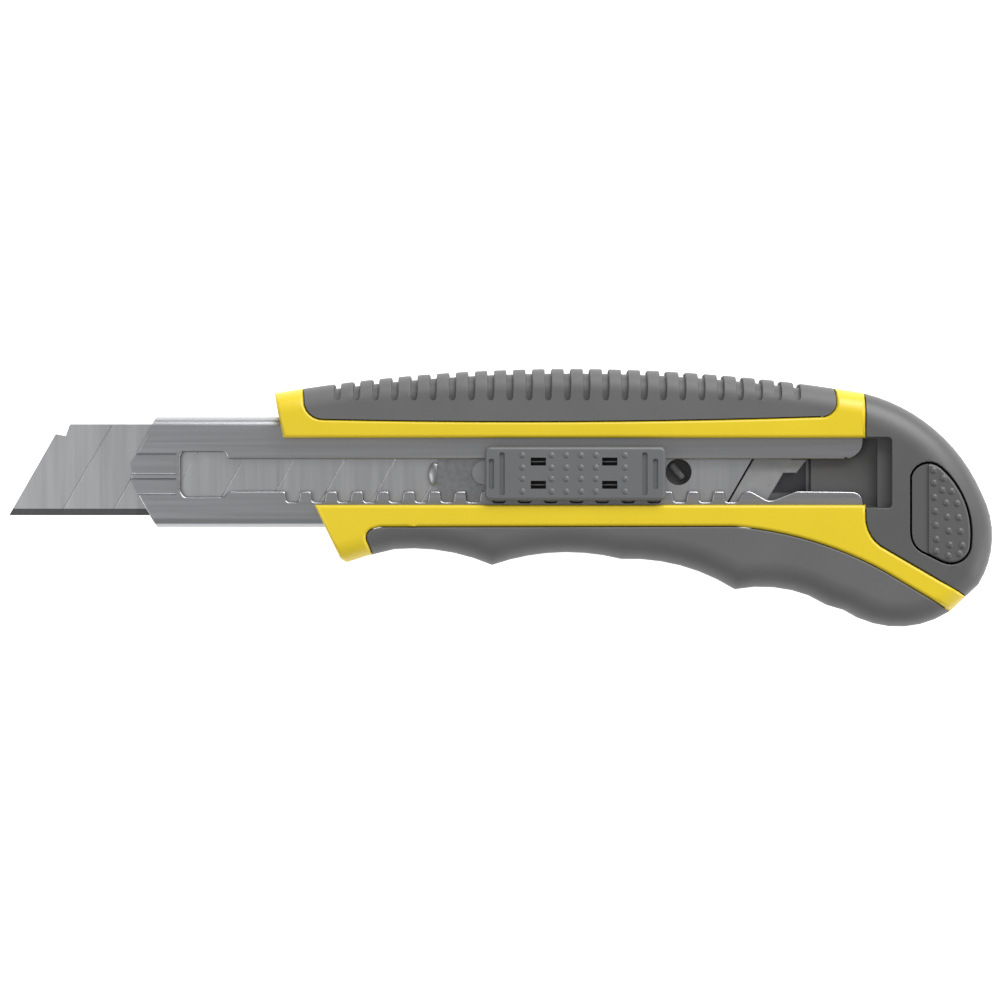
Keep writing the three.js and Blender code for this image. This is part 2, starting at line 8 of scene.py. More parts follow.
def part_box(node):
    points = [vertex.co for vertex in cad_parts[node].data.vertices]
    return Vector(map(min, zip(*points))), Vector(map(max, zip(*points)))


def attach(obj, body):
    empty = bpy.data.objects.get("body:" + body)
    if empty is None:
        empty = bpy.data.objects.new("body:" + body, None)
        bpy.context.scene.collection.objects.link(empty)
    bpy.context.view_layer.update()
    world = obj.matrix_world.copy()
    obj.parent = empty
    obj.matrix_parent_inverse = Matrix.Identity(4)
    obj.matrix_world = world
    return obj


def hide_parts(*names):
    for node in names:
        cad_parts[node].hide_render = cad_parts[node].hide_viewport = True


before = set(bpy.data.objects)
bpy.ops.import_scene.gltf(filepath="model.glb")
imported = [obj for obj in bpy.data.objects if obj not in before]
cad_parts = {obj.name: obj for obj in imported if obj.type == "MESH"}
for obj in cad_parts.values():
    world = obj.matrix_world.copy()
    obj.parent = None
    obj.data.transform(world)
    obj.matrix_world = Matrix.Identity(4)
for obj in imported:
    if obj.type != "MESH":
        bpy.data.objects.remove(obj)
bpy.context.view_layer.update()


# ------------------------------------------------------------------ handle shell
# The yellow body is one injection moulding in satin ABS. It is a flat-backed trough with two rails that
# overhang the steel channel. The rubber grips are moulded over its sides and the end cap closes its rear.
# Every piece is drawn in millimetres from the tip of the channel's nose, with y = 0 on the channel's middle.
channel_low, channel_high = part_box("blade_channel")
nose_tip = Vector((channel_low.x, (channel_low.y + channel_high.y) / 2, 0))
handle_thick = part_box("handle_shell")[1].z * 1000
seam_clear = 0.15
seam_x = (channel_high.x - nose_tip.x) * 1000 + seam_clear
channel_half = (channel_high.y - nose_tip.y) * 1000
lip_level = channel_high.z * 1000


def arc(start, through, end, steps):
    """Points on the circle through three places, from the start up to the end, which is left out."""
    (ax, ay), (bx, by), (cx, cy) = start, through, end
    a, b, c = ax * ax + ay * ay, bx * bx + by * by, cx * cx + cy * cy
    area = 2 * (ax * (by - cy) + bx * (cy - ay) + cx * (ay - by))
    x = (a * (by - cy) + b * (cy - ay) + c * (ay - by)) / area
    y = (a * (cx - bx) + b * (ax - cx) + c * (bx - ax)) / area
    first, middle, last = (math.atan2(q - y, p - x) for p, q in (start, through, end))
    turn = (last - first) % math.tau
    if (middle - first) % math.tau > turn:
        turn -= math.tau
    radius = math.hypot(ax - x, ay - y)
    angles = [first + turn * i / steps for i in range(steps)]
    return [(x + radius * math.cos(t), y + radius * math.sin(t)) for t in angles]


def drawn_in(outline, amount):
    """The closed outline with all its sides moved inwards by that much."""
    ring = list(zip(outline[-1:] + outline[:-1], outline, outline[1:] + outline[:1]))
    turning = math.copysign(1, sum(q[0] * r[1] - r[0] * q[1] for p, q, r in ring))
    made = []
    for before, corner, after in ring:
        first = (Vector(corner) - Vector(before)).normalized()
        second = (Vector(after) - Vector(corner)).normalized()
        inwards = (Vector((-first.y, first.x)) + Vector((-second.y, second.x))) * turning
        made.append(tuple(Vector(corner) + inwards * (2 * amount / inwards.length_squared)))
    return made


def plate(outline, low, high, corner=0.0, inset=0.0):
    """A flat closed solid with that plan outline, its upright corners rounded and its sides drawn in."""
    solid = bmesh.new()
    outline = [p for p, after in zip(outline, outline[1:] + outline[:1]) if math.dist(p, after) > 0.02]
    if inset:
        outline = drawn_in(outline, inset)
    solid.faces.new([solid.verts.new((x, y, low)) for x, y in outline])
    if corner:
        corners = [v for v in solid.verts if min(e.calc_length() for e in v.link_edges) > 2.1 * corner]
        bmesh.ops.bevel(solid, geom=corners, offset=corner, affect="VERTICES", segments=4, profile=0.5,
                        material=-1)
    raised = bmesh.ops.extrude_face_region(solid, geom=list(solid.faces))["geom"]
    raised = [v for v in raised if isinstance(v, bmesh.types.BMVert)]
    bmesh.ops.translate(solid, verts=raised, vec=(0, 0, high - low))
    bmesh.ops.recalc_face_normals(solid, faces=list(solid.faces))
    return solid


def level_edges(solid, *levels):
    """The edges that lie flat at one of those heights."""
    return [e for e in solid.edges if any(all(abs(v.co.z - z) < 1e-4 for v in e.verts) for z in levels)]


def pebble(outline, low, high, rounding, inset=0.0, corner=0.0):
    """A flat solid whose top and bottom rims are rounded over."""
    round_steps = 8
    solid = plate(outline, low, high, corner, inset)
    bmesh.ops.bevel(solid, geom=level_edges(solid, low, high), offset=rounding, affect="EDGES",
                    segments=round_steps, profile=0.5, material=-1)
    return solid


def box(x0, x1, y0, y1, z0, z1):
    """A block between two corners."""
    return plate([(x0, y0), (x1, y0), (x1, y1), (x0, y1)], z0, z1)


def as_object(solid, name):
    """The mesh as an object of that name."""
    mesh = bpy.data.meshes.new(name)
    solid.to_mesh(mesh)
    made = bpy.data.objects.new(name, mesh)
    bpy.context.collection.objects.link(made)
    return made


def combine(base, tools, operation):
    """The base solid with the tools joined on, cut away or used as its limits, one after the other."""
    body = as_object(base, "body")
    others = [as_object(tool, "tool") for tool in tools]
    for other in others:
        step = body.modifiers.new("step", "BOOLEAN")
        step.operation = operation
        step.solver = "EXACT"
        step.object = other
    bpy.context.view_layer.update()
    made = body.evaluated_get(bpy.context.evaluated_depsgraph_get()).to_mesh()
    solid = bmesh.new()
    solid.from_mesh(made)
    for thing in [body, *others]:
        bpy.data.objects.remove(thing)
    bmesh.ops.dissolve_degenerate(solid, edges=list(solid.edges), dist=0.004)
    return solid


def less(base, *tools):
    """The base with the tools cut out of it."""
    return combine(base, tools, "DIFFERENCE")


def within(base, *tools):
    """The part of the base that lies inside the tools."""
    return combine(base, tools, "INTERSECT")


def soften(solid, width, above=-math.inf, beyond=-math.inf):
    """Round the sharp edges above a height and beyond a width, as a worn mould leaves them."""
    sharp_from = math.radians(50)
    bmesh.ops.dissolve_degenerate(solid, edges=list(solid.edges), dist=0.05)
    sharp = [e for e in solid.edges if len(e.link_faces) == 2 and e.calc_face_angle(0) > sharp_from
             and min(v.co.z for v in e.verts) > above and min(v.co.y for v in e.verts) > beyond]
    bmesh.ops.bevel(solid, geom=sharp, offset=width, affect="EDGES", segments=3, profile=0.5, material=-1)
    return solid


def beside(solid, *others):
    """The solid with other closed solids set on or in it, each a shell of its own."""
    for other in others:
        loose = bpy.data.meshes.new("loose")
        other.to_mesh(loose)
        solid.from_mesh(loose)
        bpy.data.meshes.remove(loose)
    return solid


def placed(solid, name, material, smooth_angle=32):
    """The finished piece in metres in the knife's frame, its bends shaded smooth and its flats flat."""
    for vert in solid.verts:
        vert.co.z = max(vert.co.z, 0.0)
    to_frame = Matrix.Translation(nose_tip) @ Matrix.Scale(0.001, 4)
    bmesh.ops.transform(solid, matrix=to_frame, verts=list(solid.verts))
    for face in solid.faces:
        face.smooth = True
    limit = math.radians(smooth_angle)
    for edge in solid.edges:
        edge.smooth = len(edge.link_faces) == 2 and edge.calc_face_angle(math.pi) < limit
    piece = as_object(solid, name)
    solid.free()
    piece.data.materials.append(material)
    piece.modifiers.new("even_normals", "WEIGHTED_NORMAL").keep_sharp = True
    return piece


# The knife's side outline, from the rear of the nose over the back, round the cap and the heel, to the chin.
crown_steps = 23
side_outline = arc((15.0, 13.06), (87.2, 20.4), (144.9, 15.6), crown_steps)
side_outline += arc((144.9, 15.6), (157.4, 9.7), (168.3, -4.2), 12)
side_outline += arc((168.3, -4.2), (170.4, -12.6), (166.2, -24.2), 9)
side_outline += arc((161.8, -27.7), (151.7, -30.6), (141.4, -27.4), 7)
side_outline += [(141.4, -27.4), (138.0, -26.4)]
side_outline += arc((134.4, -24.5), (127.2, -22.8), (119.6, -23.2), 4)
side_outline += arc((119.6, -23.2), (108.0, -18.3), (97.0, -17.2), 6)
side_outline += arc((97.0, -17.2), (84.6, -15.9), (71.5, -18.4), 7)
side_outline += arc((71.5, -18.4), (57.4, -15.15), (48.3, -15.8), 6)
side_outline += [(46.7, -16.6), (30.0, -22.0), (15.0, -22.0)]

# The areas of that outline that the two grips and the cap take up, and the slanted cut behind the nose.
top_grip_area = [(32.6, 24.0), (34.4, 15.0)]
top_grip_area += arc((34.5, 14.4), (35.5, 11.5), (38.6, 10.3), 6)
top_grip_area += arc((38.6, 10.3), (87.0, 9.9), (136.0, 10.85), 10)
top_grip_area += arc((136.0, 10.85), (138.6, 11.8), (139.35, 14.0), 5)
top_grip_area += [(139.3, 14.6), (138.4, 24.0)]

finger_grip_area = [(48.0, -40.0), (48.0, -16.9), (47.4, -15.0)]
finger_grip_area += arc((46.75, -13.4), (46.95, -12.0), (48.4, -11.1), 5)
finger_grip_area += [(49.6, -10.8), (119.0, -10.7)]
finger_grip_area += arc((119.0, -10.7), (133.8, -13.4), (148.7, -19.6), 12)
finger_grip_area += [(148.7, -19.6), (162.2, -27.6), (176.0, -35.8), (176.0, -40.0)]

cap_line = [(148.9, -15.2), (200.0, -44.9)]
cap_area = [(200.0, 30.0), (seam_x, 30.0), (seam_x, -9.0)]
cap_area += arc((seam_x, -9.0), (146.0, -12.6), cap_line[0], 6)
cap_area += cap_line

nose_cut = [(28.4, 16.2), (30.5, 6.7), (36.6, -6.5)] + arc((41.2, -16.1), (41.9, -17.3), (43.2, -17.9), 4)
behind_nose = nose_cut + [(43.2, -17.9), (60.0, -40.0), (220.0, -40.0), (220.0, 40.0), (27.5, 40.0)]

edge_round = 4.4
rail_top = 6.7
rail_bottom = -6.5
seam_gap = 0.12
floor_level = 3.2
skin = 1.8
channel_clear = 0.3


def upright(outline, inset=0.0):
    """The outline as an upright tool that reaches past the handle on both faces, its sides drawn in."""
    return plate(outline, -5, handle_thick + 5, 0, inset)


def srgb(code):
    """A hex colour as the linear values that a shader takes."""
    values = [int(code[i:i + 2], 16) / 255 for i in (1, 3, 5)]
    return [v / 12.92 if v <= 0.04045 else ((v + 0.055) / 1.055) ** 2.4 for v in values] + [1.0]


def node(tree, kind, links=None, **settings):
    """One shader node, with its settings by name and its inputs linked or given a value."""
    made = tree.nodes.new(kind)
    for name, value in settings.items():
        setattr(made, name, value)
    for name, source in (links or {}).items():
        if isinstance(source, bpy.types.NodeSocket):
            tree.links.new(source, made.inputs[name])
        else:
            made.inputs[name].default_value = source
    return made


def new_material(name, colour, roughness, metallic=0.0):
    """A material of one plain colour, with its nodes ready for a pattern."""
    made = bpy.data.materials.new(name)
    made.use_nodes = True
    tree = made.node_tree
    shader = tree.nodes["Principled BSDF"]
    shader.inputs["Base Color"].default_value = srgb(colour)
    shader.inputs["Roughness"].default_value = roughness
    shader.inputs["Metallic"].default_value = metallic
    return made, tree, shader


# Satin ABS: even colour with faint flow clouding, and a spark-eroded grain that breaks up the gloss. Such
# grain is commonly near 0.1 mm, too fine to show, so it is drawn at 0.4 mm. Pattern sizes are in millimetres.
yellow_clouds = 16.667
abs_grain = 0.3846
yellow_abs, tree, shader = new_material("satin_moulded_abs_yellow", "#cdb51a", 0.38)
place = node(tree, "ShaderNodeTexCoord").outputs["Object"]
clouds = node(tree, "ShaderNodeTexNoise", {"Vector": place, "Scale": 1000 / yellow_clouds, "Detail": 3.0})
tones = {"Factor": clouds.outputs["Fac"], "A": srgb("#c9b014"), "B": srgb("#d2b91c")}
tint = node(tree, "ShaderNodeMix", tones, data_type="RGBA")
tree.links.new(tint.outputs["Result"], shader.inputs["Base Color"])
grain = node(tree, "ShaderNodeTexNoise", {"Vector": place, "Scale": 1000 / abs_grain, "Detail": 2.0})
bump = node(tree, "ShaderNodeBump", {"Height": grain.outputs["Fac"], "Strength": 0.12, "Distance": 0.00004})
tree.links.new(bump.outputs["Normal"], shader.inputs["Normal"])

hull = pebble(side_outline, 0, handle_thick, edge_round)
hull = within(hull, upright(behind_nose))
throat = plate([(20, rail_bottom), (200, rail_bottom), (200, rail_top), (20, rail_top)], lip_level, 40)
bay_half = channel_half + channel_clear
trough = box(0, 200, -bay_half, bay_half, floor_level, lip_level + channel_clear)
panel = pebble([(56.2, -6.2), (126, -6.2), (126, 6.2), (56.2, 6.2)], -3, 0.5, 0.3, corner=2.0)
shell = less(hull, upright(top_grip_area), upright(finger_grip_area), upright(cap_area))
shell = soften(less(shell, throat), 0.7, above=lip_level + 0.2)
shell = less(shell, trough, panel)
wall = skin + seam_gap
core = pebble(side_outline, wall, handle_thick - wall, edge_round - skin, wall)
core = within(core, box(49.5, seam_x - 1.0, -40, 40, 0, handle_thick))
core = less(core, box(0, 200, -bay_half, bay_half, -1, 30), upright(cap_area))
shell = beside(shell, core)
shell = placed(shell, "handle_body", yellow_abs)
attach(shell, "handle")
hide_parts("handle_shell")


# ------------------------------------------------------------------ rubber grips
# The ribbed grip on the back of the handle and the finger grip along its belly are soft thermoplastic rubber,
# moulded over the yellow body, which they grip on all sides. They meet it in a thin line, flush with its
# face.
groove_pitch = 3.772
groove_first = 41.05
groove_count = 25
groove_wide = 1.3
groove_foot = 14.0
groove_deep = 0.9

# Soft-touch rubber: dull and even, with a faint bloom of dust and the grain of a blasted mould. Such grain is
# commonly near 0.1 mm, too fine to show, so it is drawn at 0.3 mm.
dust_bloom = 11.111
rubber_grain = 0.3125
soft_rubber, tree, shader = new_material("soft_touch_rubber_grey", "#5b5b5b", 0.55)
place = node(tree, "ShaderNodeTexCoord").outputs["Object"]
bloom = node(tree, "ShaderNodeTexNoise", {"Vector": place, "Scale": 1000 / dust_bloom, "Detail": 4.0})
tones = {"Factor": bloom.outputs["Fac"], "A": srgb("#505051"), "B": srgb("#595959")}
tint = node(tree, "ShaderNodeMix", tones, data_type="RGBA")
tree.links.new(tint.outputs["Result"], shader.inputs["Base Color"])
grain = node(tree, "ShaderNodeTexNoise", {"Vector": place, "Scale": 1000 / rubber_grain, "Detail": 3.0})
bump = node(tree, "ShaderNodeBump", {"Height": grain.outputs["Fac"], "Strength": 0.25, "Distance": 0.00005})
tree.links.new(bump.outputs["Normal"], shader.inputs["Normal"])


def whole(solid):
    """Everything the mesh holds."""
    return list(solid.verts) + list(solid.edges) + list(solid.faces)


low_end = groove_foot + groove_wide / 2
slot_shape = [(groove_first - groove_wide / 2, 30.0)]
slot_shape += arc((groove_first - groove_wide / 2, low_end), (groove_first, groove_foot),
                  (groove_first + groove_wide / 2, low_end), 4)
slot_shape += [(groove_first + groove_wide / 2, low_end), (groove_first + groove_wide / 2, 30.0)]
grooves = plate(slot_shape, -2, handle_thick + 2)
first_groove = whole(grooves)
for i in range(1, groove_count):
    copied = bmesh.ops.duplicate(grooves, geom=first_groove)["geom"]
    bmesh.ops.translate(grooves, verts=[v for v in copied if isinstance(v, bmesh.types.BMVert)],
                        vec=(groove_pitch * i, 0, 0))
ribbed = pebble(side_outline, 0, handle_thick, edge_round)
ribs = soften(less(within(ribbed, upright(top_grip_area, seam_gap)), grooves), 0.24, beyond=low_end + 0.4)
web = pebble(side_outline, groove_deep, handle_thick - groove_deep, edge_round - 0.6, groove_deep)
web = within(web, upright(top_grip_area, seam_gap + 0.02))
hollow = pebble(side_outline, skin, handle_thick - skin, edge_round - skin, skin)
inside = within(hollow, upright(top_grip_area))
top_grip = beside(less(ribs, inside.copy()), less(web, inside))
top_grip = placed(top_grip, "ribbed_grip", soft_rubber)
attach(top_grip, "handle")
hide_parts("top_grip")

belly_round = edge_round + 0.8
belly = within(pebble(side_outline, 0, handle_thick, belly_round), upright(finger_grip_area, seam_gap))
belly = soften(belly, 0.3, above=handle_thick - 4)
hollow = pebble(side_outline, skin, handle_thick - skin, belly_round - skin, skin)
belly = less(belly, within(hollow, upright(finger_grip_area)))
belly = placed(belly, "belly_grip", soft_rubber)
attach(belly, "handle")
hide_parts("finger_grip")


# ------------------------------------------------------------------ blade channel
# The blade runs in a channel folded from 0.8 mm steel strip, nickel plated. Its two lips leave a slot for the
# slider, the lower one is punched with the lock teeth, and the nose is pressed thinner and cut to a spear.
sheet = 0.8
channel_end = (channel_high.x - nose_tip.x) * 1000
channel_back = channel_low.z * 1000
step_x = 12.6
nose_back = 9.3
fold = 2.2
slot_top = 2.57
slot_bottom = -3.8
valley = -5.94
tooth_pitch = 5.1
first_valley = 32.1
tooth_count = 18


def post(x, y, radius, low, high, sides=48):
    """An upright round bar."""
    solid = bmesh.new()
    bmesh.ops.create_cone(solid, cap_ends=True, segments=sides, radius1=radius, radius2=radius,
                          depth=high - low, matrix=Matrix.Translation((x, y, (low + high) / 2)))
    return solid


def trunk(x0, x1, half, low, high, radius):
    """A bar along the knife whose four long edges are folded round."""
    solid = box(x0, x1, -half, half, low, high)
    long_edges = [e for e in solid.edges if abs(e.verts[0].co.x - e.verts[1].co.x) > 1]
    bmesh.ops.bevel(solid, geom=long_edges, offset=radius, affect="EDGES", segments=6, profile=0.5,
                    material=-1)
    return solid


# Nickel-plated strip: a dull grey metal whose rolling marks run along it as faint streaks that also change
# its gloss. Real rolling marks are much finer, so they are drawn 0.7 mm wide to show.
streak_long = 40.0
streak_wide = 0.71429
channel_steel, tree, shader = new_material("rolled_nickel_plated_steel", "#a9aaad", 0.4, 1.0)
place = node(tree, "ShaderNodeTexCoord").outputs["Object"]
stretch = (1000 / streak_long, 1000 / streak_wide, 1000 / streak_wide)
along = node(tree, "ShaderNodeMapping", {"Vector": place, "Scale": stretch}).outputs["Vector"]
rolling = node(tree, "ShaderNodeTexNoise", {"Vector": along, "Scale": 1.0, "Detail": 4.0})
tones = {"Factor": rolling.outputs["Fac"], "A": srgb("#97989b"), "B": srgb("#a9aaad")}
tint = node(tree, "ShaderNodeMix", tones, data_type="RGBA")
tree.links.new(tint.outputs["Result"], shader.inputs["Base Color"])
dull = node(tree, "ShaderNodeMapRange", {"Value": rolling.outputs["Fac"], "To Min": 0.25, "To Max": 0.4})
tree.links.new(dull.outputs["Result"], shader.inputs["Roughness"])
bump = node(tree, "ShaderNodeBump", {"Height": rolling.outputs["Fac"], "Strength": 0.08, "Distance": 0.00003})
tree.links.new(bump.outputs["Normal"], shader.inputs["Normal"])

spear = [(5.85, 12.3), (1.19, 3.37), (0.0, 1.78), (0.45, -0.2), (0.0, -1.19), (0.79, -3.17), (6.15, -12.3)]
spear += [(160.0, -12.3), (160.0, 12.3)]
opening = [(9.9, 3.2), (10.4, 3.96), (18.7, 3.96), (19.3, slot_top), (141.0, slot_top)]
opening += [(141.25, 2.9), (142.0, 2.62)]
opening += arc((142.0, 2.62), (144.0, 3.9), (144.78, 6.2), 8)
opening += [(144.9, 9.0), (150.0, 9.0), (150.0, -8.0), (144.9, -7.0)]
opening += arc((144.78, -6.2), (144.1, -4.5), (142.7, -3.88), 6)
opening += [(142.7, -3.88), (131.6, -3.76), (126.9, -5.6), (125.8, -5.6)]
opening += [(122.9, -3.9), (121.9, -3.66), (120.8, -4.2)]
for i in reversed(range(tooth_count)):
    x = first_valley + tooth_pitch * i
    opening += [(x + 1.45, slot_bottom), (x + 1.15, valley), (x - 1.15, valley), (x - 1.45, slot_bottom)]
    if i == tooth_count - 1:
        opening.pop(-4)
opening += [(19.6, slot_bottom), (18.5, -4.95), (10.7, -4.95), (9.9, -3.6)]

inner = channel_half - sheet
channel = less(trunk(-1, channel_end, channel_half, channel_back, lip_level, fold),
               box(-9, step_x, -30, 30, -1, nose_back))
hollow = less(trunk(-5, 160, inner, channel_back + sheet, lip_level - sheet, fold - sheet),
              box(-9, step_x + sheet, -30, 30, -1, nose_back + sheet))
channel = less(channel, hollow)
channel = within(channel, plate(spear, 0, 30))
channel = less(channel, plate(opening, lip_level - 1.5, 30, 0.45))
rim = [e for e in level_edges(channel, lip_level) if e.calc_face_angle(0) > math.radians(50)]
bmesh.ops.bevel(channel, geom=rim, offset=0.32, affect="EDGES", segments=3, profile=0.5, material=-1)
nose_groove_deep = 0.6
nose_groove_end = 9.2
for middle_y, half_wide in ((1.55, 2.1), (-2.9, 1.65)):
    groove = trunk(-3, nose_groove_end, half_wide, lip_level - nose_groove_deep, lip_level + 3, 0.5)
    bmesh.ops.translate(groove, verts=list(groove.verts), vec=(0, middle_y, 0))
    channel = less(channel, groove)
rivet_places = [40.0, seam_x - 6.4]
rivet_hole = 1.6
channel = less(channel, *[post(x, 0, rivet_hole, 0, channel_back + 2) for x in rivet_places])
channel = placed(channel, "folded_channel", channel_steel)
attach(channel, "handle")
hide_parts("blade_channel")


# ------------------------------------------------------------------ blades
# Snap-off blades stamped from carbon steel strip, ground to an edge along one side and scored every 10 mm at
# 60 degrees so that a blunt point snaps away. One works in the slider, and five spares lie behind it.
score_pitch = 10.0
score_slope = math.radians(60)
bevel_wide = 1.3

# Ground carbon steel: brighter than the channel, with grinding marks across the strip that change its gloss.
# Real grinding marks are much finer, so they are drawn 1.1 mm wide to show.
grind_wide = 1.1111
grind_long = 33.333
blade_steel, tree, shader = new_material("ground_carbon_steel", "#b9babc", 0.33, 1.0)
place = node(tree, "ShaderNodeTexCoord").outputs["Object"]
stretch = (1000 / grind_wide, 1000 / grind_long, 1000 / grind_long)
across = node(tree, "ShaderNodeMapping", {"Vector": place, "Scale": stretch}).outputs["Vector"]
grinding = node(tree, "ShaderNodeTexNoise", {"Vector": across, "Scale": 1.0, "Detail": 3.0})
tones = {"Factor": grinding.outputs["Fac"], "A": srgb("#a8a9ac"), "B": srgb("#b9babc")}
tint = node(tree, "ShaderNodeMix", tones, data_type="RGBA")
tree.links.new(tint.outputs["Result"], shader.inputs["Base Color"])
dull = node(tree, "ShaderNodeMapRange", {"Value": grinding.outputs["Fac"], "To Min": 0.28, "To Max": 0.42})
tree.links.new(dull.outputs["Result"], shader.inputs["Roughness"])
bump = node(tree, "ShaderNodeBump",
            {"Height": grinding.outputs["Fac"], "Strength": 0.06, "Distance": 0.00002})
tree.links.new(bump.outputs["Normal"], shader.inputs["Normal"])

# Fine-ground edge steel: the bevel is painted dark and even, a painted shade for the edge that slopes away
# from the light. Its marks are drawn 0.4 mm wide.
hone_wide = 0.4
hone_long = 16.667
edge_steel_painted_shade, tree, shader = new_material("fine_ground_edge_steel_painted_shade", "#6d6e70", 0.5, 1.0)
place = node(tree, "ShaderNodeTexCoord").outputs["Object"]
stretch = (1000 / hone_wide, 1000 / hone_long, 1000 / hone_long)
across = node(tree, "ShaderNodeMapping", {"Vector": place, "Scale": stretch}).outputs["Vector"]
grinding = node(tree, "ShaderNodeTexNoise", {"Vector": across, "Scale": 1.0, "Detail": 2.0})
tones = {"Factor": grinding.outputs["Fac"], "A": srgb("#4f5053"), "B": srgb("#5d5e60")}
tint = node(tree, "ShaderNodeMix", tones, data_type="RGBA")
tree.links.new(tint.outputs["Result"], shader.inputs["Base Color"])

hole_x = 69.896
hole_radius = 2.6
score_half = 0.16
score_deep = 0.08
unscored_tail = 26
edge_left = 0.12


def corners(name):
    """The two corners of a working piece's box, in millimetres from the nose tip."""
    return [corner * 1000 - nose_tip * 1000 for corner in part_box(name)]


def strip_blade(shift, name, stepped_tip, faced):
    """One blade, its point moved along by that much from the working blade's place."""
    low, high = corners(name)
    half = (high.y - low.y) / 2
    lean = math.tan(math.pi / 2 - score_slope)
    if stepped_tip:
        tip_top = [(low.x + 9.2, 7.52), (low.x + 11.2, 7.13), (low.x + 12.0, high.y)]
    else:
        tip_top = [(low.x + 2 * half * lean, high.y)]
    outline = [(low.x, low.y), *tip_top, (high.x, high.y), (high.x - 2 * half * lean, low.y)]
    solid = plate(outline, low.z, high.z)
    solid = less(solid, post(hole_x + shift, 0.0, hole_radius, low.z - 1, high.z + 1))
    if faced:
        score_x = low.x + score_pitch
        while score_x < high.x - unscored_tail:
            for side in (-score_half, 0.0, score_half):
                bmesh.ops.bisect_plane(solid, geom=whole(solid), dist=0.0001,
                                       plane_co=(score_x + side, low.y, 0),
                                       plane_no=(math.sin(score_slope), -math.cos(score_slope), 0))
            groove = [v for v in solid.verts if v.co.z > high.z - 0.01
                      and abs((v.co.x - score_x) - (v.co.y - low.y) * lean) < 0.02]
            bmesh.ops.translate(solid, verts=groove, vec=(0, 0, -score_deep))
            score_x += score_pitch
    bmesh.ops.bisect_plane(solid, geom=whole(solid), dist=0.0001, plane_co=(0, low.y + bevel_wide, 0),
                           plane_no=(0, 1, 0))
    edge = [v for v in solid.verts if v.co.y < low.y + 0.01]
    middle_z = (low.z + high.z) / 2
    for v in edge:
        v.co.z = middle_z + (v.co.z - middle_z) * edge_left
    piece = placed(solid, name.replace("blade", "strip"), blade_steel, smooth_angle=20)
    # The bevel's faces take the darker steel, a painted shade.
    piece.data.materials.append(edge_steel_painted_shade)
    for face in piece.data.polygons:
        if face.center.y * 1000 < (nose_tip.y * 1000 + low.y + bevel_wide):
            face.material_index = 1
    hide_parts(name)
    return piece


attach(strip_blade(0, "working_blade", True, True), "slider")
spare_names = sorted(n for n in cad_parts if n.startswith("spare_blade"))
reload_travel = (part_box("spare_blade_1")[0].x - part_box("working_blade")[0].x) * 1000
for name in spare_names:
    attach(strip_blade(reload_travel, name, False, name == spare_names[-1]), "magazine")


# ------------------------------------------------------------------ magazine
# Behind the working blade the spares lie on a plate of grey ABS with a slanted, bevelled tail. A bowed leaf
# of blued spring steel on the channel's back lifts the whole stack.

# Matt ABS: even grey with flow clouding, and the same spark-eroded grain as the handle, a little deeper.
grey_clouds = 14.286
grey_abs, tree, shader = new_material("matt_moulded_abs_grey", "#4d4d4d", 0.42)
place = node(tree, "ShaderNodeTexCoord").outputs["Object"]
clouds = node(tree, "ShaderNodeTexNoise", {"Vector": place, "Scale": 1000 / grey_clouds, "Detail": 3.0})
tones = {"Factor": clouds.outputs["Fac"], "A": srgb("#494949"), "B": srgb("#515151")}
tint = node(tree, "ShaderNodeMix", tones, data_type="RGBA")
tree.links.new(tint.outputs["Result"], shader.inputs["Base Color"])
grain = node(tree, "ShaderNodeTexNoise", {"Vector": place, "Scale": 1000 / abs_grain, "Detail": 3.0})
bump = node(tree, "ShaderNodeBump", {"Height": grain.outputs["Fac"], "Strength": 0.2, "Distance": 0.00004})
tree.links.new(bump.outputs["Normal"], shader.inputs["Normal"])

# Glossy ABS: a lighter grey, partly a painted sheen that stands in for the shine on the stop and the glint on
# the rib's top. Its gloss comes and goes in small patches, where the blades rub along it.
rub_patch = 2.0
glossy_abs_and_painted_sheen, tree, shader = new_material("glossy_moulded_abs_and_painted_sheen", "#858688", 0.3)
place = node(tree, "ShaderNodeTexCoord").outputs["Object"]
rubbed = node(tree, "ShaderNodeTexNoise", {"Vector": place, "Scale": 1000 / rub_patch, "Detail": 4.0})
tones = {"Factor": rubbed.outputs["Fac"], "A": srgb("#7c7d80"), "B": srgb("#8f9092")}
tint = node(tree, "ShaderNodeMix", tones, data_type="RGBA")
tree.links.new(tint.outputs["Result"], shader.inputs["Base Color"])
dull = node(tree, "ShaderNodeMapRange", {"Value": rubbed.outputs["Fac"], "To Min": 0.22, "To Max": 0.4})
tree.links.new(dull.outputs["Result"], shader.inputs["Roughness"])

# Blued spring steel: dark, partly from its bluing and partly a painted shade that makes the gap behind the
# spares read as black. Its heat colours drift between blue and straw.
blue_patch = 2.5
spring_steel_and_painted_shade, tree, shader = new_material("blued_spring_steel_and_painted_shade", "#5b5e66", 0.35, 1.0)
place = node(tree, "ShaderNodeTexCoord").outputs["Object"]
bluing = node(tree, "ShaderNodeTexNoise", {"Vector": place, "Scale": 1000 / blue_patch, "Detail": 3.0})
tones = {"Factor": bluing.outputs["Fac"], "A": srgb("#4d515c"), "B": srgb("#6c6a68")}
tint = node(tree, "ShaderNodeMix", tones, data_type="RGBA")
tree.links.new(tint.outputs["Result"], shader.inputs["Base Color"])

follower_low, follower_high = corners("magazine_follower")
tail_x = follower_high.x - 3.2
tail_lean = math.tan(math.pi / 2 - score_slope)


def on_tail(y):
    """The point of the slanted tail at that height of the side view."""
    return (tail_x + (y - slot_top) * tail_lean, y)


